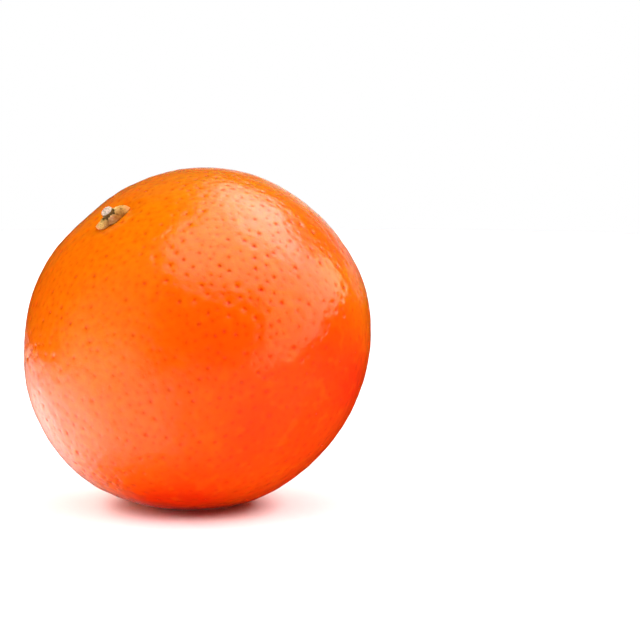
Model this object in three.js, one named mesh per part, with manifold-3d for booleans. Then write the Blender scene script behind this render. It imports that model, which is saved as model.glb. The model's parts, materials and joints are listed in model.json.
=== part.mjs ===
// Mandarin orange, whole and unpeeled, resting on a small flat spot of its peel.
// Units are millimetres, +Z is up, and the origin is the centre of the resting spot.
//
// Three pieces: the fruit (one closed, grown body), the dry five-lobed calyx on its
// stem end, and the short cut stub of the stem standing in the middle of the calyx.

import * as THREE from 'three';
import { mergeVertices } from 'three/addons/utils/BufferGeometryUtils.js';
import Module from 'manifold-3d';

// ---------------------------------------------------------------- driving dimensions
const EQUATOR_RADIUS = 32.0;      // half the diameter across the equator
const POLE_RADIUS = 29.9;         // centre to either pole, before the ends are flattened
const STEM_END = { flat: 0.35, flatWidth: 20.0, dimple: 0.55, dimpleWidth: 8.5 };
const BLOSSOM_END = { flat: 0.35, flatWidth: 24.0, dimple: 0.30, dimpleWidth: 3.5 };
const FACETS = 15;                // subdivisions of each edge of the icosahedron

// The stem axis in the resting pose: the fruit lies tilted, calyx up and to one side.
const STEM_AXIS = new THREE.Vector3(-0.47960, -0.38144, 0.79025);
const ACROSS = new THREE.Vector3(0.83620, 0.05899, 0.53594); // a direction square to the axis

// Centre of the body above the resting spot.
const CENTRE = new THREE.Vector3(1.18, -0.21, 29.603);

// Broad swells and flats of the grown body in the resting pose:
// [azimuth deg, elevation deg, height mm, half width deg]
const SWELLS = [
  [5, 14, 0.24, 13], [9, 42, -0.10, 13], [24, 71, 0.42, 13], [108, 82, 0.50, 13],
  [165, 67, 0.16, 13], [174, 47, -0.46, 13], [179, 24, -0.13, 13], [-177, -1, -0.54, 13],
  [-174, -25, -0.14, 13], [-169, -47, 0.12, 13], [-156, -71, -0.48, 13], [-72, -82, -0.71, 13],
  [0, -72, 0.35, 13], [62, -12, -0.30, 20], [118, 20, 0.22, 19], [140, -18, -0.20, 17], [88, -44, 0.18, 18],
  [38, 28, 0.16, 16], [-38, -8, 0.15, 18],
];

const JOINT_GAP = 0.3;            // clearance kept between two pieces that touch

// Calyx: lobes as [direction deg, length mm, half width deg, sharpness, thickness mm]
const CALYX_WEB = 1.75;           // radius between the lobes
const CALYX_LOBES = [
  [190, 3.18, 33, 3.2, 0.80], [128, 2.45, 24, 2.0, 0.66], [58, 2.55, 24, 1.9, 0.86],
  [-2, 3.45, 25, 1.5, 1.02], [-86, 1.80, 38, 2.2, 0.62],
];
const CALYX_PAD = 1.45;           // radius of the flat middle, under the stub
const CALYX_THICK = { middle: 0.45, between: 0.58, edge: 0.26 };
const CALYX_CURL = 0.22;          // how far the lobe tips lift

// Stem stub: a short cylinder, cut off at a slant
const STUB_RADIUS = 1.02;
const STUB_TOP_RADIUS = 1.10;
const STUB_HEIGHT = 1.01;         // at the middle of the cut
const STUB_SLANT = 0.42;          // rise of the cut across its width, mm per mm

// ---------------------------------------------------------------- the body's surface
const DEG = Math.PI / 180;
const axisZ = STEM_AXIS.clone().normalize();
const axisX = ACROSS.clone().addScaledVector(axisZ, -ACROSS.dot(axisZ)).normalize();
const axisY = new THREE.Vector3().crossVectors(axisZ, axisX);
const turn = new THREE.Matrix4().makeBasis(axisX, axisY, axisZ);

const swellAt = SWELLS.map(([az, el, h, w]) => [
  new THREE.Vector3(
    Math.cos(el * DEG) * Math.cos(az * DEG),
    Math.cos(el * DEG) * Math.sin(az * DEG),
    Math.sin(el * DEG)), h, w]);

const bell = (x, w) => Math.exp(-((x / w) ** 2));

// Distance from the centre to the peel in a direction of the resting pose.
function peelRadius(dir) {
  const c = THREE.MathUtils.clamp(dir.dot(axisZ), -1, 1);
  const s2 = 1 - c * c;
  let r = 1 / Math.sqrt(s2 / EQUATOR_RADIUS ** 2 + (c * c) / POLE_RADIUS ** 2);
  const fromStem = Math.acos(c) / DEG;
  const fromBlossom = 180 - fromStem;
  r -= STEM_END.flat * bell(fromStem, STEM_END.flatWidth)
    + STEM_END.dimple * bell(fromStem, STEM_END.dimpleWidth);
  r -= BLOSSOM_END.flat * bell(fromBlossom, BLOSSOM_END.flatWidth)
    + BLOSSOM_END.dimple * bell(fromBlossom, BLOSSOM_END.dimpleWidth);
  for (const [d, h, w] of swellAt) {
    const away = Math.acos(THREE.MathUtils.clamp(dir.dot(d), -1, 1)) / DEG;
    r += h * bell(away, w);
  }
  return r;
}

// Height of the peel along the stem axis over the point (x, y) of the axis frame.
function peelHeight(x, y) {
  let z = POLE_RADIUS;
  const v = new THREE.Vector3();
  for (let i = 0; i < 8; i++) {
    v.set(x, y, z).normalize().applyMatrix4(turn);
    const r = peelRadius(v);
    z = Math.sqrt(r * r - x * x - y * y);
  }
  return z;
}

// ---------------------------------------------------------------- solids
function closed(geometry) {
  geometry.deleteAttribute('normal');
  geometry.deleteAttribute('uv');
  return mergeVertices(geometry, 1e-4);
}

function toSolid(wasm, geometry) {
  return new wasm.Manifold(new wasm.Mesh({
    numProp: 3,
    vertProperties: new Float32Array(geometry.attributes.position.array),
    triVerts: new Uint32Array(geometry.index.array),
  }));
}

function toGeometry(solid) {
  const mesh = solid.getMesh();
  const g = new THREE.BufferGeometry();
  g.setAttribute('position', new THREE.BufferAttribute(new Float32Array(mesh.vertProperties), 3));
  g.setIndex(new THREE.BufferAttribute(new Uint32Array(mesh.triVerts), 1));
  return g;
}

const wasm = await Module();
wasm.setup();

// The fruit: an oblate body with a dimpled stem end, cut flat where it rests.
function fruitGeometry() {
  const ball = closed(new THREE.IcosahedronGeometry(1, FACETS));
  const p = ball.attributes.position;
  const v = new THREE.Vector3();
  for (let i = 0; i < p.count; i++) {
    v.fromBufferAttribute(p, i).normalize();
    v.multiplyScalar(peelRadius(v)).add(CENTRE);
    p.setXYZ(i, v.x, v.y, v.z);
  }
  const table = closed(new THREE.BoxGeometry(80, 80, 20).translate(0, 0, -10));
  return toGeometry(toSolid(wasm, ball).subtract(toSolid(wasm, table)));
}

// The calyx, in the axis frame: a thin star that follows the peel under it.
function lobeAt(angle) {
  let reach = CALYX_WEB, thick = CALYX_THICK.between;
  for (const [dir, length, width, sharp, depth] of CALYX_LOBES) {
    const off = Math.abs(((angle / DEG - dir + 540) % 360 + 360) % 360 - 180);
    const k = Math.exp(-((off / width) ** sharp));
    reach = Math.max(reach, CALYX_WEB + (length - CALYX_WEB) * k);
    thick = Math.max(thick, CALYX_THICK.between + (depth - CALYX_THICK.between) * k);
  }
  return [reach, thick];
}

function calyxGeometry() {
  const rings = [0.25, 0.45, 0.62, 0.8, 0.93];
  const profile = [new THREE.Vector2(0, 0)];
  for (const t of rings) profile.push(new THREE.Vector2(t, 0));
  profile.push(new THREE.Vector2(1, 0.5));
  for (const t of [...rings].reverse()) profile.push(new THREE.Vector2(t, 1));
  profile.push(new THREE.Vector2(0, 1));
  const star = closed(new THREE.LatheGeometry(profile, 40).rotateX(Math.PI / 2));
  const p = star.attributes.position;
  for (let i = 0; i < p.count; i++) {
    const x0 = p.getX(i), y0 = p.getY(i);
    const side = Math.abs(p.getZ(i));           // 0 underside, 1 top, 0.5 the rim
    const t = Math.hypot(x0, y0);
    const angle = Math.atan2(y0, x0);
    const [reach, lobe] = lobeAt(angle);
    const r = t * reach;
    const x = r * Math.cos(angle), y = r * Math.sin(angle);
    const out = THREE.MathUtils.smoothstep(r, CALYX_PAD * 0.9, CALYX_PAD * 1.25);
    const thick = THREE.MathUtils.lerp(CALYX_THICK.middle,
      THREE.MathUtils.lerp(lobe, CALYX_THICK.edge, THREE.MathUtils.smoothstep(t, 0.65, 1)), out);
    const lift = CALYX_CURL * THREE.MathUtils.smoothstep(r, 2.4, 3.6);
    p.setXYZ(i, x, y, peelHeight(x, y) + JOINT_GAP + lift + thick * side);
  }
  return star;
}

// The stub, in the axis frame: a short slant-cut cylinder with a slightly wider top.
function stubGeometry() {
  const foot = peelHeight(0, 0) + 2 * JOINT_GAP + CALYX_THICK.middle;
  const stub = closed(new THREE.CylinderGeometry(STUB_TOP_RADIUS, STUB_RADIUS, 1, 20, 3)
    .rotateX(Math.PI / 2).translate(0, 0, 0.5));
  const p = stub.attributes.position;
  for (let i = 0; i < p.count; i++) {
    const x = p.getX(i), y = p.getY(i), t = p.getZ(i);
    p.setZ(i, foot + t * (STUB_HEIGHT + STUB_SLANT * y));
  }
  return stub;
}

// ---------------------------------------------------------------- the assembly
function piece(name, geometry, colour, roughness) {
  geometry.computeVertexNormals();
  const mesh = new THREE.Mesh(geometry,
    new THREE.MeshStandardMaterial({ color: colour, roughness, metalness: 0 }));
  mesh.name = name;
  return mesh;
}

const mandarin = new THREE.Group();
mandarin.add(piece('fruit', fruitGeometry(), 0xf5620a, 0.35));

const stemEnd = new THREE.Group();
stemEnd.position.copy(CENTRE);
stemEnd.quaternion.setFromRotationMatrix(turn);
stemEnd.add(piece('calyx', calyxGeometry(), 0xc29a55, 0.7));
stemEnd.add(piece('stem_stub', stubGeometry(), 0xb9ad95, 0.85));
mandarin.add(stemEnd);

export default mandarin;
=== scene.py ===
import json
import math

import bpy
import numpy as np
from mathutils import Matrix, Vector, noise
from mathutils.geometry import delaunay_2d_cdt

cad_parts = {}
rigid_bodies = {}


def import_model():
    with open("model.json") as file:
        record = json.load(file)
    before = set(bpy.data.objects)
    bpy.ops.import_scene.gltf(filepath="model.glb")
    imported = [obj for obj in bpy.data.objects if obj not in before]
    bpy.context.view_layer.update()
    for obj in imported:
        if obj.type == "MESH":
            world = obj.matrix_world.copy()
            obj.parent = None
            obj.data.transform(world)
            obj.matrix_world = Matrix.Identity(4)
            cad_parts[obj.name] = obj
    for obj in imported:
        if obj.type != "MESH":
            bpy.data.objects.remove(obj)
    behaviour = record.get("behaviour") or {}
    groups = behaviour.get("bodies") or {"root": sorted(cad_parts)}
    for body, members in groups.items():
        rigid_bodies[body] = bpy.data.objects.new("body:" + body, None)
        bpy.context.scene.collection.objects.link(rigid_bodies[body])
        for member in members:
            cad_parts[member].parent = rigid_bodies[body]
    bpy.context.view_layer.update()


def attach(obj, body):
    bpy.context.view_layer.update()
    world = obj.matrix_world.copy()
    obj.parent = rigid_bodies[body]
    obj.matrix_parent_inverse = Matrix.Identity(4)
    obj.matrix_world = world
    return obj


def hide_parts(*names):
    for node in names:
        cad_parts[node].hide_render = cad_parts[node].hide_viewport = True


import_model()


MM = 0.001
DEG = math.pi / 180

# ------------------------------------------------------------------ camera (first)
CAM_AT = Vector((23.529, -477.176, 91.965)) * MM
CAM_TILT = 7.0                      # degrees below the horizontal
cam_data = bpy.data.cameras.new("camera")
cam_data.lens = 150.0
cam_data.sensor_width = 36.0
cam_data.clip_start = 0.01
cam_data.clip_end = 50.0
cam = bpy.data.objects.new("camera", cam_data)
cam.location = CAM_AT
cam.rotation_euler = ((90.0 - CAM_TILT) * DEG, 0.0, 0.0)
bpy.context.scene.collection.objects.link(cam)
bpy.context.scene.camera = cam

# ------------------------------------------------------------------ the body's form
# The same numbers as the CAD body, in millimetres.
EQUATOR, POLE = 32.0, 29.9
STEM_END = (0.35, 20.0, 0.55, 8.5)        # flat, its width, dimple, its width
BLOSSOM_END = (0.35, 24.0, 0.30, 3.5)
CENTRE = np.array([1.18, -0.21, 29.603])
SWELLS = [
    (5, 14, 0.24, 13), (9, 42, -0.10, 13), (24, 71, 0.42, 13), (108, 82, 0.50, 13),
    (165, 67, 0.16, 13), (174, 47, -0.46, 13), (179, 24, -0.13, 13), (-177, -1, -0.54, 13),
    (-174, -25, -0.14, 13), (-169, -47, 0.12, 13), (-156, -71, -0.48, 13), (-72, -82, -0.71, 13),
    (0, -72, 0.35, 13), (62, -12, -0.30, 20), (118, 20, 0.22, 19), (140, -18, -0.20, 17),
    (88, -44, 0.18, 18), (38, 28, 0.16, 16), (-38, -8, 0.15, 18),
]
axis_z = np.array([-0.47960, -0.38144, 0.79025]); axis_z /= np.linalg.norm(axis_z)
axis_x = np.array([0.83620, 0.05899, 0.53594]); axis_x -= axis_z * (axis_x @ axis_z)
axis_x /= np.linalg.norm(axis_x)
axis_y = np.cross(axis_z, axis_x)
TURN = np.stack([axis_x, axis_y, axis_z], 1)          # axis frame -> resting pose
SWELL_DIRS = np.array([[math.cos(e * DEG) * math.cos(a * DEG),
                        math.cos(e * DEG) * math.sin(a * DEG),
                        math.sin(e * DEG)] for a, e, _, _ in SWELLS])


def bell(x, w):
    return np.exp(-(x / w) ** 2)


def peel_radius(d):
    """Distance from the centre to the smooth peel, for unit directions of the resting pose."""
    c = np.clip(d @ axis_z, -1, 1)
    s2 = 1 - c * c
    r = 1 / np.sqrt(s2 / EQUATOR ** 2 + c * c / POLE ** 2)
    from_stem = np.arccos(c) / DEG
    from_blossom = 180 - from_stem
    r = r - STEM_END[0] * bell(from_stem, STEM_END[1]) - STEM_END[2] * bell(from_stem, STEM_END[3])
    r = r - BLOSSOM_END[0] * bell(from_blossom, BLOSSOM_END[1]) \
        - BLOSSOM_END[2] * bell(from_blossom, BLOSSOM_END[3])
    for k, (_, _, h, w) in enumerate(SWELLS):
        away = np.arccos(np.clip(d @ SWELL_DIRS[k], -1, 1)) / DEG
        r = r + h * bell(away, w)
    return r


def peel_height(x, y):
    """Height of the smooth peel along the stem axis over (x, y) of the axis frame, mm."""
    x, y = np.asarray(x, float), np.asarray(y, float)
    z = np.full_like(x, POLE)
    for _ in range(8):
        v = np.stack([x, y, z], -1)
        v = v / np.linalg.norm(v, axis=-1, keepdims=True)
        r = peel_radius(v @ TURN.T)
        z = np.sqrt(r * r - x * x - y * y)
    return z


def fbm(points, size, seed, octaves=1):
    """Smooth noise, about -1 to 1, with features of the given size in mm."""
    off = Vector((seed * 17.31, seed * -7.77, seed * 3.13))
    out = np.zeros(len(points))
    amp, tot = 1.0, 0.0
    s = 1.0 / size
    for o in range(octaves):
        out += amp * np.array([noise.noise(Vector((p[0] * s, p[1] * s, p[2] * s)) + off)
                               for p in points.tolist()])
        tot += amp
        amp *= 0.5
        s *= 2.03
    return out / tot


def make_mesh(name, verts_mm, faces, attrs=None, smooth=True):
    me = bpy.data.meshes.new(name)
    verts = np.asarray(verts_mm, np.float64) * MM
    me.from_pydata(verts.tolist(), [], faces if isinstance(faces, list) else faces.tolist())
    if smooth:
        me.polygons.foreach_set("use_smooth", np.ones(len(me.polygons), bool))
    for key, val in (attrs or {}).items():
        a = me.attributes.new(key, "FLOAT", "POINT")
        a.data.foreach_set("value", np.asarray(val, np.float32))
    me.update()
    ob = bpy.data.objects.new(name, me)
    bpy.context.scene.collection.objects.link(ob)
    return ob


# ------------------------------------------------------------------ the peel's pores
rng = np.random.default_rng(7)


def scatter(tries, limit, taken_dir, taken_own, radius_of, gap_of):
    """Random directions kept clear of each other: blue noise on the sphere, uneven in its spacing."""
    room = len(taken_dir) + limit
    dirs, own = np.zeros((room, 3)), np.zeros(room)
    rads = np.zeros(room)
    n0 = n = len(taken_dir)
    dirs[:n], own[:n] = taken_dir, taken_own
    z = rng.uniform(-1, 1, tries)
    a = rng.uniform(0, 2 * math.pi, tries)
    s = np.sqrt(1 - z * z)
    cand = np.stack([s * np.cos(a), s * np.sin(a), z], 1)
    crad = radius_of(tries)
    cown = crad + gap_of(tries)
    for i in range(tries):
        cosd = dirs[:n] @ cand[i]
        # small angles: 1 - cos = d^2 / 2, with d in radii of the fruit
        if np.all(1 - cosd > ((own[:n] + cown[i]) / 31.0) ** 2 / 2):
            dirs[n], rads[n], own[n] = cand[i], crad[i], cown[i]
            n += 1
            if n == room:
                break
    return dirs[n0:n], rads[n0:n], own[n0:n]


big_dir, big_rad, big_own = scatter(
    3200, 900, np.zeros((0, 3)), np.zeros(0),
    lambda n: rng.uniform(0.42, 0.62, n), lambda n: rng.uniform(0.10, 0.60, n))
mid_dir, mid_rad, mid_own = scatter(
    26000, 2900, big_dir, big_own,
    lambda n: rng.uniform(0.34, 0.52, n), lambda n: rng.uniform(0.06, 0.34, n))
small_dir, small_rad, small_own = scatter(
    9000, 1000, np.concatenate([big_dir, mid_dir]), np.concatenate([big_rad, mid_rad]),
    lambda n: rng.uniform(0.22, 0.32, n), lambda n: rng.uniform(0.05, 0.2, n))


def rings_around(dirs, rads, plan):
    """Vertices of each pore: its middle, then rings at plan's (fraction, count)."""
    n = len(dirs)
    helper = np.where(np.abs(dirs[:, 2:3]) < 0.9, [[0.0, 0.0, 1.0]], [[1.0, 0.0, 0.0]])
    t1 = np.cross(dirs, helper)
    t1 /= np.linalg.norm(t1, axis=1, keepdims=True)
    t2 = np.cross(dirs, t1)
    spin = rng.uniform(0, 2 * math.pi, n)
    # slightly oval pores
    oval = rng.uniform(0.62, 1.0, n)
    turn = rng.uniform(0, math.pi, n)
    out, frac, owner = [dirs], [np.zeros(n)], [np.arange(n)]
    for k, (f, count) in enumerate(plan):
        for j in range(count):
            ang = spin + 2 * math.pi * (j + 0.5 * (k % 2)) / count
            reach = f * rads / 31.0 * np.sqrt(np.cos(ang - turn) ** 2 + (oval * np.sin(ang - turn)) ** 2)
            p = dirs + reach[:, None] * (np.cos(ang)[:, None] * t1 + np.sin(ang)[:, None] * t2)
            out.append(p / np.linalg.norm(p, axis=1, keepdims=True))
            frac.append(np.full(n, f))
            owner.append(np.arange(n))
    return np.concatenate(out), np.concatenate(frac), np.concatenate(owner)


# each kind: directions, radii mm, rings, how marked, pit depth mm, width of its dark spot mm
KINDS = [
    (big_dir, big_rad, [(0.30, 5), (0.62, 8), (1.0, 10)], (0.62, 1.0), 0.066, 0.42),
    (mid_dir, mid_rad, [(0.42, 5), (1.0, 8)], (0.22, 0.66), 0.060, 0.38),
    (small_dir, small_rad, [(1.0, 6)], (0.12, 0.45), 0.020, 0.28)]


def pit(f):
    return (1 - f * f) ** 2


def press(d):
    """How hard the glands are drawn in: it differs in patches over the peel."""
    w = d @ TURN.T
    f = 1.0 + 0.22 * fbm(w * 31.0, 13.0, 31) + 0.22 * fbm(w * 31.0, 5.0, 33)
    for az_, el_, width, gain in ((-84, 12, 17, 0.38), (-78, 34, 13, 0.20), (-117, -10, 26, -0.30),
                                  (-107, 47, 16, -0.18), (100, -25, 40, -0.10), (10, 47, 26, 0.42),
                                  (-36, 20, 14, -0.28), (-62, 22, 12, 0.22)):
        v = np.array([math.cos(el_ * DEG) * math.cos(az_ * DEG),
                      math.cos(el_ * DEG) * math.sin(az_ * DEG), math.sin(el_ * DEG)])
        f = f + gain * np.exp(-(np.arccos(np.clip(w @ v, -1, 1)) / DEG / width) ** 2)
    return np.clip(f, 0.45, 1.6)


# points between the pores
CAP = 1.7                                     # degrees round the blossom pole, built as rings
n_fill = 40000
i = np.arange(n_fill) + 0.5
zf = 1 - 2 * i / n_fill
af = math.pi * (1 + 5 ** 0.5) * i
fill = np.stack([np.sqrt(1 - zf * zf) * np.cos(af), np.sqrt(1 - zf * zf) * np.sin(af), zf], 1)
fill += rng.normal(0, 0.0036, fill.shape)
fill /= np.linalg.norm(fill, axis=1, keepdims=True)
all_dir = np.concatenate([k[0] for k in KINDS])
all_rad = np.concatenate([k[1] for k in KINDS])
keep = np.ones(len(fill), bool)
for s in range(0, len(fill), 4000):
    d2 = 2 * (1 - fill[s:s + 4000] @ all_dir.T)
    lim = ((all_rad + 0.22) / 31.0) ** 2
    keep[s:s + 4000] = np.all(d2 > lim[None, :], axis=1)
fill = fill[keep]

dirs_l, dent, mark, all_force = [], [], [], []
for dirs_k, rads_k, plan, (f_lo, f_hi), depth, spot in KINDS:
    v_, f_, own_ = rings_around(dirs_k, rads_k, plan)
    force = rng.uniform(f_lo, f_hi, len(rads_k)) * press(dirs_k)
    dirs_l.append(v_)
    dent.append(depth * force[own_] * pit(f_))
    mark.append(force[own_] * np.exp(-(f_ * rads_k[own_] / spot) ** 2))
    all_force.append(force)
dirs_l = np.concatenate(dirs_l + [fill])
dent = np.concatenate(dent + [np.zeros(len(fill))])
mark = np.concatenate(mark + [np.zeros(len(fill))])
all_force = np.concatenate(all_force)
q = np.arccos(np.clip(-dirs_l[:, 2], -1, 1)) / DEG
ok = q > CAP * 1.15
dirs_l, dent, mark = dirs_l[ok], dent[ok], mark[ok]


def ring(q_deg, count, phase=0.0):
    a = (np.arange(count) + phase) / count * 2 * math.pi
    s, c = math.sin(q_deg * DEG), -math.cos(q_deg * DEG)
    return np.stack([s * np.cos(a), s * np.sin(a), np.full(count, c)], 1)


rim = ring(CAP, 26)
inner = np.concatenate([ring(1.42, 24, 0.5), ring(1.15, 22), ring(0.9, 18, 0.5), ring(0.66, 14),
                        ring(0.44, 10, 0.5), ring(0.22, 6), np.array([[0.0, 0.0, -1.0]])])
n_main = len(dirs_l)
dirs_l = np.concatenate([dirs_l, rim, inner])
dent = np.concatenate([dent, np.zeros(len(rim) + len(inner))])
mark = np.concatenate([mark, np.zeros(len(rim) + len(inner))])

# Delaunay on the sphere, through a stereographic map from the blossom pole
outer_idx = np.arange(n_main + len(rim))
p = dirs_l[outer_idx]
flat = p[:, :2] / (1 + p[:, 2:3])
tri_a = delaunay_2d_cdt([Vector(v) for v in flat.tolist()], [], [], 0, 1e-9, True)
map_a = [o[0] for o in tri_a[3]]
faces = [[map_a[k] for k in f] for f in tri_a[2]]
cap_idx = np.arange(n_main, len(dirs_l))
p = dirs_l[cap_idx]
flat = p[:, :2] / (1 - p[:, 2:3]) * 30
tri_b = delaunay_2d_cdt([Vector(v) for v in flat.tolist()], [], [], 0, 1e-9, True)
map_b = [int(cap_idx[o[0]]) for o in tri_b[3]]
faces += [[map_b[k] for k in reversed(f)] for f in tri_b[2]]

dirs_w = dirs_l @ TURN.T
base_r = peel_radius(dirs_w)
base_p = dirs_w * base_r[:, None]

# low swelling between the pores, and the peel's broader unevenness
lumpy = 0.055 * fbm(base_p, 9.0, 3) + 0.036 * fbm(base_p, 4.2, 5) + 0.062 * fbm(base_p, 1.9, 8) \
    + 0.020 * fbm(base_p, 0.95, 14)
# each gland also draws the peel in around itself
n_small = len(small_rad)
wide_depth = 0.090 * all_force * rng.uniform(0.5, 1.2, len(all_rad))
wide_depth[-n_small:] *= 0.4
wide_size = rng.uniform(0.50, 0.76, len(all_rad))
wide_size[-n_small:] = 0.5
for s in range(0, len(dirs_l), 3000):
    d2 = 2 * (1 - dirs_l[s:s + 3000] @ all_dir.T) * 31.0 ** 2
    row, colm = np.nonzero(d2 < 4.5)
    part = wide_depth[colm] * np.exp(-d2[row, colm] / wide_size[colm] ** 2)
    lumpy[s:s + 3000] -= np.bincount(row, part, minlength=len(d2))

from_stem = np.arccos(np.clip(dirs_l[:, 2], -1, 1)) / DEG
around = np.arctan2(dirs_l[:, 1], dirs_l[:, 0])
# faint furrows that run out from under the calyx
furrow = -0.05 * (0.5 + 0.5 * np.cos(9 * around + 1.3 * np.sin(2 * around))) \
    * bell(from_stem - 13.0, 6.5)
# the stylar scar on the blossom end: a small raised, rough disc in a hollow
q = 180 - from_stem
scar = 0.16 * bell(q, 0.75) + 0.10 * bell(q - 1.0, 0.22)
scar_mark = bell(q, 1.25)
scar_rough = 0.06 * fbm(base_p, 0.5, 11) * scar_mark

INSET = 0.07
r = base_r - INSET + lumpy + furrow - dent * (1 - scar_mark) + scar + scar_rough
pos = CENTRE + dirs_w * r[:, None]

# the resting spot: flat on the table, with a soft shoulder
soft = 0.30
z = pos[:, 2]
pos[:, 2] = np.where(z > soft, z, np.where(z < -soft, 0.0, (z + soft) ** 2 / (4 * soft)))

# how far the peel has reddened, with painted light and shade mixed in: most on one cheek, little towards the
# stem and the far side.
# It is partly the peel's own colour and partly painted shade and light; the smaller spots are fitted to the
# look from the front, and hold painted light and shade too.
def toward(az_, el_):
    v = np.array([math.cos(el_ * DEG) * math.cos(az_ * DEG),
                  math.cos(el_ * DEG) * math.sin(az_ * DEG), math.sin(el_ * DEG)])
    return np.arccos(np.clip(dirs_w @ v, -1, 1)) / DEG


def step(x, a, b):
    t_ = np.clip((x - a) / (b - a), 0, 1)
    return t_ * t_ * (3 - 2 * t_)


ripeness_and_painted_light = 0.01 + 0.87 * (1 - step(toward(-36, -32), 25, 104))
ripeness_and_painted_light = ripeness_and_painted_light + 0.51 * bell(toward(-108, -58), 15.5) + 0.28 * bell(toward(-25, -9), 14)
ripeness_and_painted_light = ripeness_and_painted_light + 0.16 * bell(toward(-75, 45), 16) + 0.30 * bell(toward(-143, -20), 13)
ripeness_and_painted_light = ripeness_and_painted_light + 0.20 * bell(toward(-158, 15), 16) - 0.10 * bell(toward(-116, 14), 18)
ripeness_and_painted_light = ripeness_and_painted_light + 0.18 * bell(toward(-86, 10), 16) - 0.42 * bell(toward(-10, 17), 13)
ripeness_and_painted_light = ripeness_and_painted_light - 0.16 * bell(toward(-140, 78), 24) + 0.10 * bell(toward(-140, 30), 15)
ripeness_and_painted_light = ripeness_and_painted_light - 0.15 * bell(toward(-56, 19), 18) - 0.22 * bell(toward(-24, 21), 12)
ripeness_and_painted_light = ripeness_and_painted_light - 0.10 * bell(toward(-95, 72), 15) - 0.26 * bell(toward(-66, 37), 17)
ripeness_and_painted_light = ripeness_and_painted_light + 0.22 * fbm(base_p, 21.0, 21) + 0.10 * fbm(base_p, 9.0, 23)
ripeness_and_painted_light = np.clip((ripeness_and_painted_light + 0.1) / 1.2, 0, 1)
# the side that faces the overhead softbox: its red is cut a little, to even out the softbox's
# shading. This is a correction for the light, not a colour of the peel.
key_side = np.clip(dirs_w @ np.array([0.461, 0.248, 0.852]), 0, 1) ** 1.2

fruit = make_mesh("peel", pos, faces, {"pore": mark, "scar": scar_mark, "ripeness_and_painted_light": ripeness_and_painted_light, "key_side": key_side})
print("peel:", len(big_dir), len(mid_dir), len(small_dir), "pores,", len(pos), "vertices,",
      len(fruit.data.polygons), "faces")


# ------------------------------------------------------------------ node helpers
class Nodes:
    def __init__(self, name):
        self.mat = bpy.data.materials.new(name)
        self.mat.use_nodes = True
        self.t = self.mat.node_tree
        self.t.nodes.clear()
        self.out = self.t.nodes.new("ShaderNodeOutputMaterial")
        self.b = self.t.nodes.new("ShaderNodeBsdfPrincipled")
        self.t.links.new(self.b.outputs[0], self.out.inputs[0])
        self.pos = self.t.nodes.new("ShaderNodeTexCoord").outputs["Object"]

    def link(self, a, b):
        self.t.links.new(a, b)

    def set(self, **kw):
        for k, v in kw.items():
            self.b.inputs[k.replace("_", " ")].default_value = v

    def attr(self, name):
        n = self.t.nodes.new("ShaderNodeAttribute")
        n.attribute_name = name
        return n.outputs["Fac"]

    def noise(self, size_mm, detail=2.0, rough=0.5, distort=0.0, offset=(0, 0, 0)):
        n = self.t.nodes.new("ShaderNodeTexNoise")
        n.inputs["Scale"].default_value = 1000.0 / size_mm
        n.inputs["Detail"].default_value = detail
        n.inputs["Roughness"].default_value = rough
        n.inputs["Distortion"].default_value = distort
        m = self.t.nodes.new("ShaderNodeVectorMath")
        m.operation = "ADD"
        self.link(self.pos, m.inputs[0])
        m.inputs[1].default_value = offset
        self.link(m.outputs[0], n.inputs["Vector"])
        return n.outputs["Fac"]

    def voronoi(self, size_mm, feature="F1", randomness=1.0):
        n = self.t.nodes.new("ShaderNodeTexVoronoi")
        n.feature = feature
        n.inputs["Scale"].default_value = 1000.0 / size_mm
        n.inputs["Randomness"].default_value = randomness
        self.link(self.pos, n.inputs["Vector"])
        return n.outputs["Distance"]

    def math(self, op, a, b=0.0, c=None, clamp=False):
        n = self.t.nodes.new("ShaderNodeMath")
        n.operation = op
        n.use_clamp = clamp
        for k, v in enumerate([a, b] + ([c] if c is not None else [])):
            if hasattr(v, "default_value") or hasattr(v, "links"):
                self.link(v, n.inputs[k])
            else:
                n.inputs[k].default_value = v
        return n.outputs[0]

    def remap(self, v, lo, hi, to_lo=0.0, to_hi=1.0, smooth=True):
        n = self.t.nodes.new("ShaderNodeMapRange")
        n.interpolation_type = "SMOOTHSTEP" if smooth else "LINEAR"
        self.link(v, n.inputs["Value"])
        for k, x in (("From Min", lo), ("From Max", hi), ("To Min", to_lo), ("To Max", to_hi)):
            n.inputs[k].default_value = x
        return n.outputs["Result"]

    def mix(self, fac, a, b, blend="MIX"):
        n = self.t.nodes.new("ShaderNodeMix")
        n.data_type = "RGBA"
        n.blend_type = blend
        n.clamp_factor = True
        for key, v in (("Factor", fac), ("A", a), ("B", b)):
            s = [x for x in n.inputs if x.name == key and (key == "Factor" and x.type == "VALUE"
                                                         or key != "Factor" and x.type == "RGBA")][0]
            if isinstance(v, tuple):
                s.default_value = (*v, 1.0)
            elif isinstance(v, (int, float)):
                s.default_value = v
            else:
                self.link(v, s)
        return [o for o in n.outputs if o.type == "RGBA"][0]

    def along(self, direction, lo_mm, hi_mm):
        """0 to 1 along a direction of the object's own space."""
        n = self.t.nodes.new("ShaderNodeVectorMath")
        n.operation = "DOT_PRODUCT"
        self.link(self.pos, n.inputs[0])
        n.inputs[1].default_value = direction
        return self.remap(n.outputs["Value"], lo_mm * MM, hi_mm * MM)

    def bump(self, height, distance_mm, strength=1.0, normal=None):
        n = self.t.nodes.new("ShaderNodeBump")
        n.inputs["Strength"].default_value = strength
        n.inputs["Distance"].default_value = distance_mm * MM
        self.link(height, n.inputs["Height"])
        if normal is not None:
            self.link(normal, n.inputs["Normal"])
        return n.outputs["Normal"]


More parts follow.
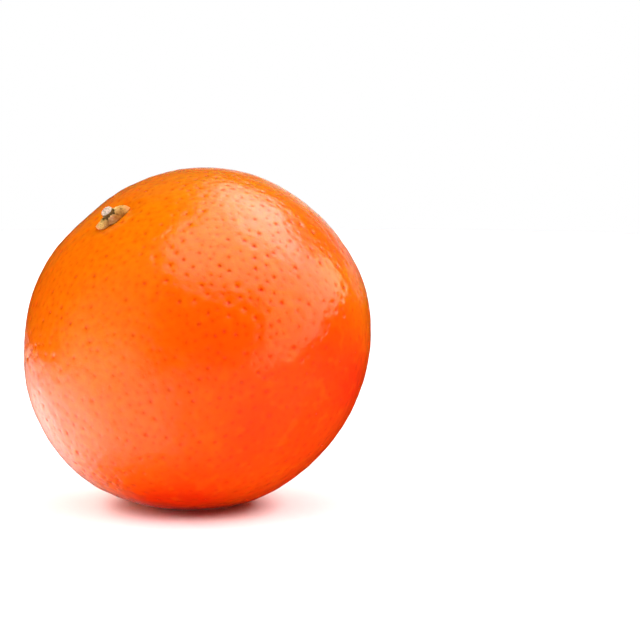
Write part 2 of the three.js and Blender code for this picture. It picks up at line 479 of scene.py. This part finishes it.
# ------------------------------------------------------------------ the peel's material
def peel_material():
    m = Nodes("peel")
    pore, scar_a = m.attr("pore"), m.attr("scar")
    warm = (0.85, 0.185, 0.0009)      # yellower orange
    deep = (0.77, 0.026, 0.0004)      # redder orange
    # yellower to redder orange by the ripeness mask, which holds painted light and shade as well as the peel's
    # own colour
    col = m.mix(m.attr("ripeness_and_painted_light"), warm, deep)
    # fine mottling between the glands
    mott = m.remap(m.noise(1.3, 2.0, 0.6), 0.35, 0.65)
    col = m.mix(m.math("MULTIPLY", mott, 0.18), col, (0.77, 0.060, 0.0006))
    pale = m.remap(m.noise(2.6, 1.0, 0.5, offset=(0.3, 0.1, 0.7)), 0.52, 0.72)
    col = m.mix(m.math("MULTIPLY", pale, 0.08), col, (0.86, 0.25, 0.003))
    # oil glands: darker and redder
    col = m.mix(m.math("MULTIPLY", pore, 0.74, clamp=True), col, (0.64, 0.020, 0.0003))
    # less red where the softbox is strongest: a correction for the light
    col = m.mix(m.attr("key_side"), col, (0.76, 1.0, 1.0), blend="MULTIPLY")
    # the stylar scar
    col = m.mix(m.remap(scar_a, 0.35, 0.85), col, (0.16, 0.075, 0.025))
    m.link(col, m.b.inputs["Base Color"])
    rough = m.math("ADD", 0.10, m.math("MULTIPLY", m.noise(3.0, 2.0, 0.5), 0.08))
    rough = m.math("ADD", rough, m.math("MULTIPLY", pore, 0.16))
    rough = m.math("ADD", rough, m.math("MULTIPLY", scar_a, 0.3), clamp=True)
    m.link(rough, m.b.inputs["Roughness"])
    # the waxy shine is lost down in the glands
    shine = m.math("ADD", pore, m.remap(m.noise(1.6, 2.0, 0.6, offset=(0.1, 0.5, 0.2)), 0.46, 0.72, 0.0, 0.30))
    # and it is cut close to the table, in place of the fruit's own shadow, which the world that
    # the gloss mirrors does not hold
    low = m.math("ADD", 0.25, m.math("MULTIPLY", m.along((0, 0, 1), 0.5, 11.0), 0.75))
    m.link(m.math("MULTIPLY", m.remap(shine, 0.05, 0.85, 0.53, 0.20), low), m.b.inputs["Specular IOR Level"])
    m.set(Subsurface_Weight=0.35, Subsurface_Radius=(1.0, 0.25, 0.05), Subsurface_Scale=0.003,
          IOR=1.45)
    fine = m.bump(m.noise(0.60, 2.0, 0.55), 0.027)
    m.link(fine, m.b.inputs["Normal"])
    return m.mat


fruit.data.materials.append(peel_material())
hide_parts("fruit")
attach(fruit, "root")


# ------------------------------------------------------------------ the calyx
def axis_to_rest(p):
    return CENTRE + np.asarray(p) @ TURN.T


LOBES = [  # direction deg, length mm, half width deg, sharpness, height mm, tip lift mm
    (190, 3.18, 33, 3.2, 0.95, 0.72), (128, 2.45, 24, 2.0, 0.80, 0.40), (58, 2.55, 24, 1.9, 1.15, 0.25),
    (-2, 3.45, 25, 1.30, 1.50, 0.14), (-86, 1.68, 38, 2.2, 0.70, 0.28)]
CREASES = [150, 93, 28, -40, -128]              # between the lobes
WEB = 1.62
# the stub's outline, as direction deg and radius mm: blocky, with one flat side
STUB_OUTLINE = [(183, 1.26), (197, 1.26), (229, 0.94), (260, 0.66), (300, 0.62), (345, 0.82),
                (377, 1.02), (409, 1.06), (448, 1.04), (488, 1.04), (543, 1.26)]


def stub_radius(angle):
    deg = angle / DEG % 360
    deg = np.where(deg < 183, deg + 360, deg)
    rad = np.interp(deg, [a for a, _ in STUB_OUTLINE], [r_ for _, r_ in STUB_OUTLINE])
    n = max(1, len(angle) // 60)
    for _ in range(3 * n):
        rad = 0.25 * np.roll(rad, 1) + 0.5 * rad + 0.25 * np.roll(rad, -1)
    return rad


def turned(angle, d):
    return (angle / DEG - d + 540) % 360 - 180


def lobe_field(angle):
    reach = np.full_like(angle, WEB)
    lift = np.zeros_like(angle)
    body = np.full_like(angle, 0.34)
    mid = np.zeros_like(angle)
    for d, length, width, sharp, high, up in LOBES:
        off = turned(angle, d)
        k = np.exp(-(np.abs(off) / width) ** sharp)
        reach = np.maximum(reach, WEB + (length - WEB) * k)
        lift = np.maximum(lift, up * k)
        body = np.maximum(body, 0.34 + (high - 0.34) * np.exp(-(np.abs(off) / (width * 1.15)) ** 2.4))
        mid = np.maximum(mid, np.exp(-(off / 6.0) ** 2))
    return reach, lift, body, mid


def wobble(points, size, seed):
    off = Vector((seed * 3.7, seed * -1.9, seed * 5.3))
    return np.array([noise.noise(Vector(p) / size + off) for p in np.asarray(points).tolist()])


def calyx_object():
    na, nr = 260, 34
    ang = np.arange(na) / na * 2 * math.pi
    reach, lift, body, mid = lobe_field(ang)
    circle = np.stack([np.cos(ang), np.sin(ang), np.zeros(na)], 1)
    reach = reach * (1 + 0.06 * wobble(circle, 0.22, 2) + 0.030 * wobble(circle, 0.07, 6))
    rows, unders, tags = [], [], {k: [] for k in ("out", "stub_cleft_shade", "brown", "olive", "pink", "crease", "shade")}
    foot = stub_radius(ang) + 0.14                 # the stub's side comes down inside this
    crease = sum(np.exp(-(turned(ang, d) / 9.0) ** 2) for d in CREASES)
    for k in range(1, nr + 1):
        t = k / nr
        rr = reach * t
        x, y = rr * np.cos(ang), rr * np.sin(ang)
        flat_p = np.stack([x, y, np.zeros(na)], 1)
        base = peel_height(x, y)
        s_ = np.clip((rr - foot) / (reach - foot), 0, 1)
        # the star stands up as a collar round the stub and thins towards the lobes' tips
        dome = s_ ** 0.20 * (1 - s_) ** 0.75 / 0.587
        stand = (1.30 + 0.14 * np.cos(ang - 0.6)) * (1 - 0.16 * crease)
        collar = stand * np.exp(-(np.maximum(rr - foot - 0.16, 0) / (0.30 + 0.42 * (reach - foot))) ** 2)
        h = 0.16 + np.maximum((body - 0.16) * dome, (collar - 0.16) * np.clip(s_ * 9, 0, 1))
        h = np.where(rr < foot, 0.26, h)
        edge = np.clip((1 - t) / 0.10, 0, 1) ** 0.5
        # each lobe has a keel and shrivelled pleats that run out along it
        notch = np.exp(-(turned(ang, -78) / 10.0) ** 2) * np.clip((t - 0.35) / 0.3, 0, 1)
        h = h + 0.13 * (mid - 0.3) * dome - 0.20 * crease * dome - 0.20 * notch * dome
        pleat = wobble(np.stack([np.cos(ang) * 2.6, np.sin(ang) * 2.6, rr * 0.5], 1), 0.42, 9)
        ridge = wobble(np.stack([np.cos(ang) * 5.5, np.sin(ang) * 5.5, rr * 0.35], 1), 0.42, 17)
        h = h + 0.18 * pleat * dome + 0.13 * ridge * (0.25 + 0.75 * dome) \
            + 0.12 * wobble(flat_p, 0.55, 4) * (0.3 + 0.7 * dome) + 0.075 * wobble(flat_p, 0.22, 7)
        h = np.maximum(h * (0.30 + 0.70 * edge), 0.05)
        up = lift * np.clip((rr - 2.2) / 1.2, 0, 1) ** 2
        rows.append(np.stack([x, y, base + h + up], 1))
        unders.append(np.stack([x, y, base + np.minimum(up, h + up - 0.05) * 0.7 - 0.12], 1))
        d = ang / DEG
        tags["out"].append(t * np.clip((reach - 2.3) / 0.9, 0, 1))
        # the cleft round the stub, which the material fills with painted shade
        tags["stub_cleft_shade"].append(np.clip((foot + 0.17 - rr) / 0.15, 0, 1))
        tags["brown"].append(np.exp(-(turned(ang, -92) / 58.0) ** 4) * np.clip((rr - 1.15) / 0.3, 0, 1))
        # where the material paints shade: in the creases between the lobes, and along the lobes' edge towards
        # the ground
        tags["crease"].append(np.clip(crease, 0, 1) * np.clip((t - 0.45) / 0.2, 0, 1))
        tags["shade"].append(np.clip((t - 0.55) / 0.25, 0, 1) * np.exp(-(turned(ang, -46) / 34.0) ** 4))
        tags["pink"].append(np.exp(-(turned(ang, -84) / 30.0) ** 2) * np.exp(-((rr - 1.22) / 0.26) ** 2))
        tags["olive"].append(np.exp(-(turned(ang, 168) / 40.0) ** 2) * np.exp(-((rr - 1.75) / 0.4) ** 2))
    z0 = peel_height(np.zeros(1), np.zeros(1))[0]
    verts = [np.array([[0, 0, z0 + 0.26]])] + rows + [np.array([[0, 0, z0 - 0.12]])] + unders
    verts = np.concatenate(verts)
    faces = []
    T = lambda k, j: 1 + (k - 1) * na + j % na
    base_u = 1 + nr * na
    U = lambda k, j: base_u + 1 + (k - 1) * na + j % na
    for j in range(na):
        faces.append([0, T(1, j), T(1, j + 1)])
        faces.append([base_u, U(1, j + 1), U(1, j)])
        for k in range(1, nr):
            faces.append([T(k, j), T(k + 1, j), T(k + 1, j + 1), T(k, j + 1)])
            faces.append([U(k, j), U(k, j + 1), U(k + 1, j + 1), U(k + 1, j)])
        faces.append([T(nr, j), U(nr, j), U(nr, j + 1), T(nr, j + 1)])
    attrs = {}
    for key, parts_ in tags.items():
        v = np.concatenate(parts_)
        attrs[key] = np.concatenate([[v[0]], v, [v[0]], v])
    return make_mesh("calyx_star", axis_to_rest(verts), faces, attrs)


calyx = calyx_object()


def calyx_material():
    m = Nodes("dry_calyx")
    out, stub_cleft_shade, brown, olive = m.attr("out"), m.attr("stub_cleft_shade"), m.attr("brown"), m.attr("olive")
    # straw to golden tan
    col = m.mix(m.remap(m.noise(0.9, 3.0, 0.6), 0.35, 0.65), (0.66, 0.37, 0.095), (0.78, 0.49, 0.150))
    # dull grey-olive and brown blotches
    col = m.mix(m.math("MULTIPLY", m.remap(m.noise(1.0, 2.0, 0.6, offset=(0, 0.4, 0)), 0.52, 0.64), 0.65),
                col, (0.34, 0.25, 0.075))
    col = m.mix(m.math("MULTIPLY", m.remap(m.noise(0.6, 2.0, 0.6, offset=(0.2, 0, 0)), 0.53, 0.66), 0.7),
                col, (0.22, 0.09, 0.022))
    # small dark flecks and pale, dry scurf
    col = m.mix(m.math("MULTIPLY", m.remap(m.noise(0.30, 2.0, 0.6, offset=(0.5, 0.2, 0)), 0.55, 0.68), 0.6),
                col, (0.17, 0.11, 0.030))
    col = m.mix(m.math("MULTIPLY", m.remap(m.noise(0.38, 2.0, 0.6, offset=(0, 0.7, 0.3)), 0.56, 0.70), 0.5),
                col, (0.88, 0.66, 0.33))
    # the side nearest the ground is browner, the root of one lobe still greenish
    patchy = m.remap(m.noise(0.42, 2.0, 0.6, offset=(0.3, 0.1, 0.6)), 0.40, 0.60, 0.30, 0.95)
    col = m.mix(m.math("MULTIPLY", brown, patchy), col, (0.32, 0.125, 0.035))
    col = m.mix(m.math("MULTIPLY", olive, 0.8), col, (0.24, 0.17, 0.025))
    col = m.mix(m.math("MULTIPLY", m.attr("pink"), 0.75), col, (0.55, 0.24, 0.14))
    # dried, paler, pinkish tips
    col = m.mix(m.remap(out, 0.72, 1.0, 0.0, 0.75), col, (0.80, 0.36, 0.13))
    # painted shade in the creases between the lobes, and a painted shadow along the lobes' edge towards the
    # ground
    col = m.mix(m.math("MULTIPLY", m.attr("crease"), 0.75), col, (0.26, 0.09, 0.014))
    col = m.mix(m.math("MULTIPLY", m.attr("shade"), 0.85), col, (0.32, 0.105, 0.008))
    # painted shade in the cleft round the stub
    col = m.mix(m.math("MULTIPLY", stub_cleft_shade, 0.95), col, (0.050, 0.026, 0.007))
    m.link(col, m.b.inputs["Base Color"])
    m.set(Roughness=0.62, Subsurface_Weight=0.0, IOR=1.45)
    m.link(m.bump(m.noise(0.20, 3.0, 0.6), 0.05), m.b.inputs["Normal"])
    return m.mat


calyx.data.materials.append(calyx_material())
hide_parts("calyx")
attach(calyx, "root")


# ------------------------------------------------------------------ the stem stub
def stub_object():
    na = 96
    ang = np.arange(na) / na * 2 * math.pi
    z0 = peel_height(np.zeros(1), np.zeros(1))[0]
    foot = z0 + 0.12
    rad = stub_radius(ang)
    circle = np.stack([np.cos(ang), np.sin(ang), np.zeros(na)], 1)
    rad = rad * (1 + 0.055 * wobble(circle, 0.34, 11) + 0.045 * wobble(circle, 0.17, 3)) - 0.05
    verts, faces, cut = [], [], []
    rows = []

    def cut_height(x, y):
        return 1.98 + 0.35 * y - 0.05 * x

    # the woody side, with fine lengthwise fibres
    for t in (0.0, 0.12, 0.28, 0.45, 0.62, 0.78, 0.90, 0.96):
        fibre = 1 + 0.025 * wobble(np.stack([np.cos(ang), np.sin(ang), np.full(na, t * 0.15)], 1), 0.10, 8)
        narrow = 0.86 + 0.14 * min(1.0, t * 1.6) + 0.10 * (1 - t) ** 4
        x, y = rad * fibre * narrow * np.cos(ang), rad * fibre * narrow * np.sin(ang)
        top = z0 + cut_height(x, y)
        rows.append((x, y, foot + (top - foot) * t, np.zeros(na)))
    # the cut face: a rounded edge, torn fibres and a sunken pith
    for s_ in (0.985, 0.955, 0.90, 0.82, 0.72, 0.60, 0.47, 0.34, 0.21, 0.09):
        x, y = rad * s_ * np.cos(ang), rad * s_ * np.sin(ang)
        flat_p = np.stack([x, y, np.zeros(na)], 1)
        drop = -0.10 * np.clip((s_ - 0.86) / 0.125, 0, 1) ** 2
        pith = -0.16 * math.exp(-(s_ / 0.22) ** 2)
        crack = -0.12 * np.clip(wobble(flat_p, 0.5, 12) - 0.18, 0, 1) * 3
        rows.append((x, y, z0 + cut_height(x, y) + drop + pith + crack + 0.12 * wobble(flat_p, 0.45, 3)
                     + 0.05 * wobble(flat_p, 0.16, 5), np.full(na, 1.0)))
    for x, y, z_, c in rows:
        verts.append(np.stack([x, y, z_], 1))
        cut.append(c)
    verts = np.concatenate(verts)
    top_c = np.array([[0, 0, z0 + cut_height(0, 0) - 0.16]])
    bot_c = np.array([[0, 0, foot]])
    n = len(verts)
    verts = np.concatenate([verts, top_c, bot_c])
    V_ = lambda k, j: k * na + j % na
    last = len(rows) - 1
    for j in range(na):
        for k in range(last):
            faces.append([V_(k, j), V_(k, j + 1), V_(k + 1, j + 1), V_(k + 1, j)])
        faces.append([V_(last, j), V_(last, j + 1), n])
        faces.append([V_(0, j + 1), V_(0, j), n + 1])
    cut = np.concatenate([np.concatenate(cut), [1.0, 0.0]])
    return make_mesh("cut_stem", axis_to_rest(verts), faces, {"cut": cut})


stub = stub_object()


def stub_material():
    m = Nodes("cut_stem")
    cut = m.attr("cut")
    bark = m.mix(m.remap(m.noise(0.9, 3.0, 0.6), 0.4, 0.6), (0.085, 0.045, 0.012), (0.20, 0.115, 0.034))
    face = m.mix(m.remap(m.noise(0.60, 3.0, 0.65), 0.42, 0.62), (0.72, 0.54, 0.42), (0.40, 0.31, 0.24))
    face = m.mix(m.remap(m.noise(0.40, 2.0, 0.6, offset=(0.5, 0.5, 0)), 0.56, 0.70), face, (0.86, 0.70, 0.58))
    col = m.mix(cut, bark, face)
    m.link(col, m.b.inputs["Base Color"])
    m.set(Roughness=0.8, IOR=1.4)
    m.link(m.bump(m.noise(0.2, 3.0, 0.6), 0.03), m.b.inputs["Normal"])
    return m.mat


stub.data.materials.append(stub_material())
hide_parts("stem_stub")
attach(stub, "root")

# ------------------------------------------------------------------ floor, light, world
def disc(name, radius, hole=0.0, z=-0.02, segments=128):
    a = np.arange(segments) / segments * 2 * math.pi
    outer = np.stack([radius * np.cos(a), radius * np.sin(a), np.full(segments, z)], 1)
    if hole:
        inner_ = np.stack([hole * np.cos(a), hole * np.sin(a), np.full(segments, z)], 1)
        faces_ = [[j, (j + 1) % segments, segments + (j + 1) % segments, segments + j] for j in range(segments)]
        faces_ = [f[::-1] for f in faces_]
        return make_mesh(name, np.concatenate([outer, inner_]), faces_, smooth=False)
    return make_mesh(name, outer, [list(range(segments))], smooth=False)


floor = disc("floor", 560.0)
fm = Nodes("floor")
fm.set(Base_Color=(0.86, 0.86, 0.86, 1.0), Roughness=0.9, Specular_IOR_Level=0.2)
floor.data.materials.append(fm.mat)
floor.visible_glossy = False        # the world below gives the peel the table's soft reflection


def area(name, at, towards, size, radiance, colour=(1, 1, 1)):
    """A rectangular soft light for the matt part of the surfaces. Its gloss is in the world's."""
    d = bpy.data.lights.new(name, "AREA")
    d.shape = "RECTANGLE"
    d.size, d.size_y = size[0] * MM, size[1] * MM
    d.energy = radiance * math.pi * d.size * d.size_y
    d.color = colour
    d.cycles.use_multiple_importance_sampling = False     # keeps the box out of the gloss
    o = bpy.data.objects.new(name, d)
    o.location = Vector(at) * MM
    o.rotation_euler = (Vector(towards) - Vector(at)).to_track_quat("-Z", "Y").to_euler()
    o.visible_camera = False
    o.visible_glossy = False
    bpy.context.scene.collection.objects.link(o)
    return o


H = 600.0
area("softbox_top", (325, 175, 30 + H), (325, 175, 30), (1150, 1300), 3.0)
area("panel_right", (560, -60, 330), (0, 0, 40), (800, 420), 0.6)
area("panel_left", (-520, -120, 150), (0, 0, 20), (700, 420), 0.8)
# an even fill from all round
for k, (fx, fy, much) in enumerate(((0, -900, 0.62), (900, 0, 0.62), (0, 900, 0.82), (-900, 0, 0.80))):
    area("fill_%d" % k, (fx, fy, 350), (0, 0, 350), (1800, 900), much)
# the table is lit evenly from the whole room, as if in a light tent, and keeps white
on_fruit = bpy.data.collections.new("on_fruit")
for o in (fruit, calyx, stub):
    on_fruit.objects.link(o)
on_table = bpy.data.collections.new("on_table")
on_table.objects.link(floor)
for o in bpy.context.scene.objects:
    if o.type == "LIGHT":
        o.light_linking.receiver_collection = on_fruit
for name, at, to, size, much in (("tent_front", (0, -1000, 1040), (0, 0, 1040), (2000, 780), 2.6),
                                 ("tent_right", (1000, 0, 1040), (0, 0, 1040), (2000, 780), 7.4),
                                 ("tent_back", (0, 1000, 1040), (0, 0, 1040), (2000, 780), 2.6),
                                 ("tent_left", (-1000, 0, 1040), (0, 0, 1040), (2000, 780), 6.5),
                                 ("tent_top", (0, 0, 1000), (0, 0, 0), (2000, 2000), 0.7)):
    area(name, at, to, size, much).light_linking.receiver_collection = on_table
# low light that gets in under the fruit: a pale wall on the left, and on every side a weak
# red, for the light that goes through the peel and comes out near the contact
area("wall_left", (-600, 40, 180), (0, 0, 0), (900, 240), 2.2).light_linking.receiver_collection = on_table
for k, at in enumerate(((0, -600, 110), (600, 0, 110), (0, 600, 110), (-600, 0, 110))):
    area("peel_glow_%d" % k, at, (0, 0, 0), (1400, 160), 1.5,
         (1.0, 0.13, 0.09)).light_linking.receiver_collection = on_table
# The world: white to the eye, an even fill for matt surfaces, and for gloss the studio that the
# peel mirrors: an overhead softbox, a window-like panel to the right, a pale wall on the left,
# and the bright table to the left and behind.
world = bpy.data.worlds.new("world")
bpy.context.scene.world = world
world.use_nodes = True
wt = world.node_tree
wt.nodes.clear()


class V:
    """A number in the world's node tree, with arithmetic."""
    def __init__(self, x):
        self.x = x

    def op(self, kind, *others):
        n = wt.nodes.new("ShaderNodeMath")
        n.operation = kind
        for k, v in enumerate((self,) + others):
            if isinstance(v, V):
                wt.links.new(v.x, n.inputs[k])
            else:
                n.inputs[k].default_value = float(v)
        return V(n.outputs[0])

    def __add__(self, o): return self.op("ADD", o)
    __radd__ = __add__
    def __mul__(self, o): return self.op("MULTIPLY", o)
    __rmul__ = __mul__
    def __sub__(self, o): return self.op("SUBTRACT", o)
    def __rsub__(self, o): return self.op("MULTIPLY", -1.0).op("ADD", o)
    def __truediv__(self, o): return self.op("DIVIDE", o)
    def most(self, o): return self.op("MAXIMUM", o)
    def least(self, o): return self.op("MINIMUM", o)

    def ramp(self, lo, hi, to_lo=0.0, to_hi=1.0):
        n = wt.nodes.new("ShaderNodeMapRange")
        n.interpolation_type = "SMOOTHSTEP"
        wt.links.new(self.x, n.inputs["Value"])
        for key, v in (("From Min", lo), ("From Max", hi), ("To Min", to_lo), ("To Max", to_hi)):
            n.inputs[key].default_value = v
        return V(n.outputs["Result"])

    def fall(self, lo, hi):
        return self.ramp(lo, hi, 1.0, 0.0)


coord = wt.nodes.new("ShaderNodeTexCoord")
split = wt.nodes.new("ShaderNodeSeparateXYZ")
wt.links.new(coord.outputs["Generated"], split.inputs[0])
dx, dy, dz = (V(split.outputs[k]) for k in range(3))
az = dy.op("ARCTAN2", dx) * (1 / DEG)                    # degrees from +X towards +Y
el = dz.most(-1.0).least(1.0).op("ARCSINE") * (1 / DEG)  # degrees above the horizon
turn_az = (az + 360.0).op("MODULO", 360.0)               # 0 to 360
zc = dz.most(0.05)
pu, pv = dx / zc, dy / zc                                # a ceiling plane one unit up

# overhead softbox, fading out to the left and in front, brightest over its right half
front = pv.fall(-0.12, 0.26)
l0 = front * -0.30 - 0.22 + 0.05 * pv.ramp(0.3, 0.6) + 0.12 * pv.fall(-0.85, -0.45)
l1 = front * -0.30 + 0.10 + 0.06 * pv.ramp(0.3, 0.6) + 0.16 * pv.fall(-0.85, -0.45)
t = ((pu - l0) / (l1 - l0)).most(0.0).least(1.0)
box_left = t * t * (3.0 - 2.0 * t)
core = pu.ramp(0.05, 0.38) * pu.fall(0.98, 1.20) * pv.ramp(-0.16, 0.16) \
    * (pv + (pu - 0.5).most(0.0) * 0.6).fall(0.66, 0.98)
box_back = (pv + (pu - 0.45).most(0.0) * 0.60).fall(0.80, 1.62) \
    * (1.0 - 0.70 * pu.ramp(0.58, 0.95) * pv.ramp(0.35, 0.7))
softbox = box_left * box_back * pv.ramp(-1.26, -0.58) * pu.fall(1.15, 1.45) \
    * dz.ramp(0.05, 0.2) * (2.30 - 0.6 * pv.fall(-0.75, -0.2) + 2.7 * core)
# panel on the right: a curved lower edge, an upright right edge
edge = -4.8 + 17.4 * az.ramp(-26.0, 13.0) - 2.0 * az.ramp(20.0, 40.0) - 5.0 * az.fall(-48.0, -28.0)
panel = (az - el * 0.3).ramp(-58.0, -37.0) * (az - (el - 10.0).most(0.0).least(16.0) * 0.5).fall(30.0, 41.0) \
    * (el - edge).ramp(-1.6, 1.6) \
    * (1.05 + 1.15 * az.ramp(-24.0, 12.0) + 0.6 * el.ramp(20.0, 36.0)) * el.fall(52.0, 64.0) \
    * (1.0 - 0.75 * (az + el * 0.7).ramp(48.0, 60.0))
# wall on the left
wall = (turn_az - 205.0).op("ABSOLUTE").fall(12.0, 44.0) * el.fall(50.0, 75.0) * el.ramp(-14.0, -6.0) \
    * (0.08 + 0.35 * el.fall(8.0, 50.0) + 0.70 * el.fall(-4.0, 20.0))
# the bright table, left and behind; it darkens under the fruit and towards the front
low = (turn_az - 115.0).least(39.0) * -0.40 + (turn_az - 154.0).most(0.0) * -0.235 - 34.0
table_ = 3.0 * turn_az.ramp(88.0, 140.0) * (1.0 - 0.62 * turn_az.ramp(165.0, 226.0)) \
    * (1.0 - 0.95 * turn_az.ramp(226.0, 275.0)) * (el - low).ramp(-15.0, 22.0) \
    * (0.32 * el.fall(-8.0, -4.0) + 0.68 * el.fall(-21.0, -5.5))
# what stands behind, to the right, seen only at the peel's edge
rim = 0.45 * az.ramp(49.0, 60.0) * az.fall(84.0, 98.0) * el.ramp(-1.0, 5.0) \
    * (1.0 - 0.4 * el.ramp(9.0, 16.0)) * el.fall(17.0, 28.0) \
    + 0.45 * az.ramp(76.0, 82.0) * az.fall(92.0, 100.0) * el.fall(6.0, 14.0) * el.ramp(-8.0, -2.0) \
    + 0.05 * az.ramp(88.0, 96.0) * az.fall(110.0, 122.0) * el.ramp(2.0, 8.0)
boxes = softbox.most(panel)
gloss = boxes + wall + table_ + rim + 0.005
# the panel's weaker light is warmer than the softbox's
warmth = 0.9 * panel.ramp(0.25, 1.0) * panel.fall(1.9, 3.6) * softbox.fall(0.05, 0.6) * el.fall(26.0, 40.0)


def background(strength):
    n = wt.nodes.new("ShaderNodeBackground")
    n.inputs["Color"].default_value = (1, 1, 1, 1)
    n.inputs["Strength"].default_value = strength
    return n


lit = background(1.0)
rgb = wt.nodes.new("ShaderNodeCombineColor")
for k, v in enumerate((gloss + warmth * 1.2, gloss + warmth, gloss)):
    wt.links.new(v.x, rgb.inputs[k])
wt.links.new(rgb.outputs[0], lit.inputs["Color"])


path = wt.nodes.new("ShaderNodeLightPath")
mix1 = wt.nodes.new("ShaderNodeMixShader")
mix2 = wt.nodes.new("ShaderNodeMixShader")
wt.links.new(path.outputs["Is Glossy Ray"], mix1.inputs[0])
wt.links.new(background(0.02).outputs[0], mix1.inputs[1])
wt.links.new(lit.outputs[0], mix1.inputs[2])
wt.links.new(path.outputs["Is Camera Ray"], mix2.inputs[0])
wt.links.new(mix1.outputs[0], mix2.inputs[1])
wt.links.new(background(1.0).outputs[0], mix2.inputs[2])
w_out = wt.nodes.new("ShaderNodeOutputWorld")
wt.links.new(mix2.outputs[0], w_out.inputs[0])
world.cycles.sampling_method = "NONE"       # so each kind of ray sees its own part of the world

bpy.context.scene.view_settings.view_transform = "Standard"
bpy.context.scene.view_settings.look = "None"
bpy.context.scene.view_settings.exposure = 0.0
bpy.context.scene.view_settings.gamma = 1.0
